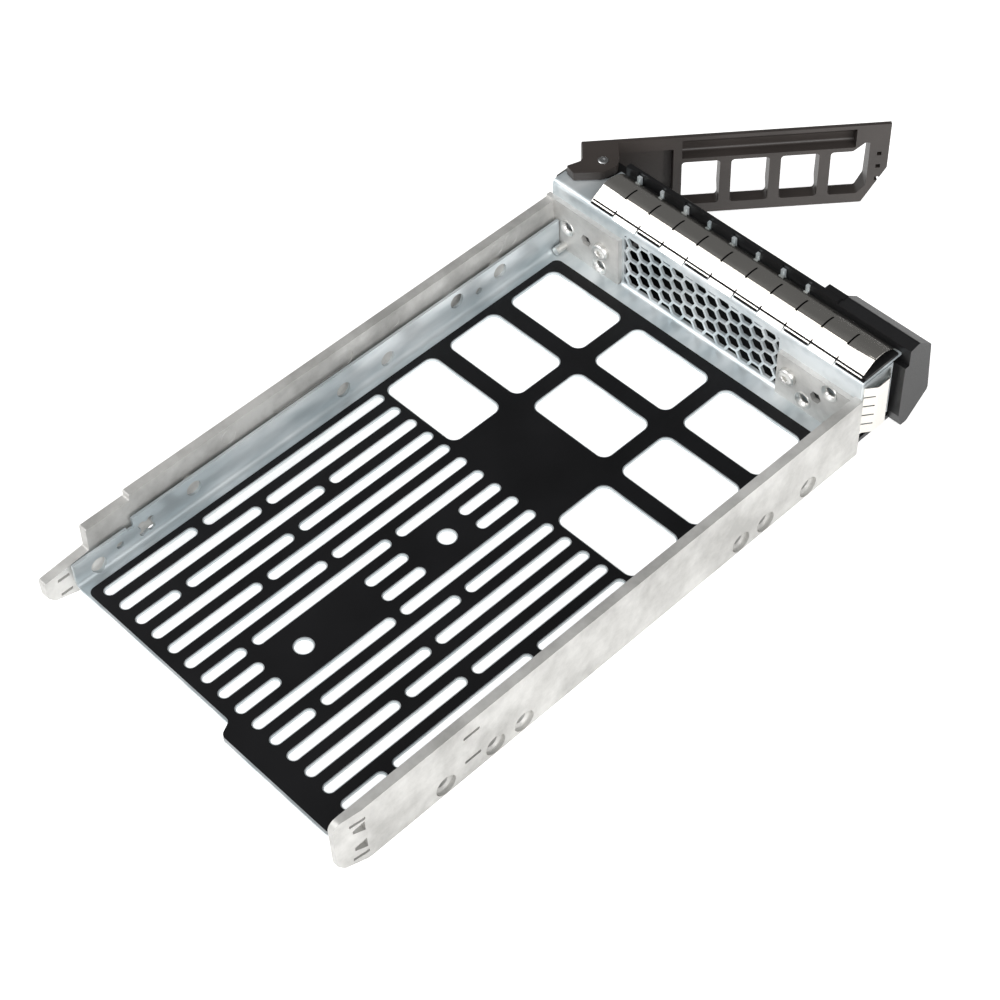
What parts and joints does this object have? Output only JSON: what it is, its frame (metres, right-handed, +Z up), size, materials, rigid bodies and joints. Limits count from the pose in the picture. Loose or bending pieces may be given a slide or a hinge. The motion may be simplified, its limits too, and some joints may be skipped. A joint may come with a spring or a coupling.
{
  "type": "hot swap drive caddy",
  "caption": "Hot swap drive caddy for a 3.5 inch drive: perforated folded steel tray with black film, cast side rails, spring-finger gaskets, black bezel and a swing-out plastic handle, shown open.",
  "frame": {"origin": "point on the film where the middle of the drive's underside rests, centred between the rails", "axes": "+Y along the rails towards the backplane, +X towards the handle's hinge, +Z up out of the drive bay"},
  "size_m": [0.1197, 0.2619, 0.0298],
  "materials": {
    "tray_steel": "satin",
    "black_film": "semi-gloss",
    "cast_zinc": "satin",
    "spring_steel": "bright",
    "screw_steel": "satin",
    "pin_steel": "satin",
    "black_plastic": "fine grain",
    "grey_plastic": "fine grain"
  },
  "bodies": {
    "caddy": {"drive_tray": "tray_steel", "floor_film": "black_film", "hinge_side_rail": "cast_zinc", "latch_side_rail": "cast_zinc", "hinge_block_screw": "screw_steel", "latch_block_screw": "screw_steel", "hinge_block_outer_rivet": "screw_steel", "hinge_block_lower_rivet": "screw_steel", "latch_block_lower_rivet": "screw_steel", "latch_block_outer_rivet": "screw_steel", "hinge_corner_pin": "screw_steel", "latch_corner_pin": "screw_steel", "top_gasket": "spring_steel", "hinge_side_gasket": "spring_steel", "latch_side_gasket": "spring_steel", "bezel": "black_plastic", "button_spring": "spring_steel", "handle_spring": "spring_steel", "hinge_pin": "pin_steel", "hinge_pin_clip": "pin_steel"},
    "handle": {"handle": "grey_plastic"},
    "release_button": {"release_button": "grey_plastic"}
  },
  "joints": [
    {"name": "handle_hinge", "type": "hinge", "parent": "caddy", "child": "handle", "pos_m": [0.0483, -0.1133, 0], "axis": [0, 0, 1], "range_deg": [-49.4, 0], "stiffness_Nm_per_rad": 0.01, "springref_deg": 5.73},
    {"name": "button_press", "type": "slide", "parent": "caddy", "child": "release_button", "axis": [0, 1, 0], "range_m": [0, 0.002], "stiffness_N_per_m": 400, "springref_m": -0.001, "deforming": ["button_spring"]}
  ]
}
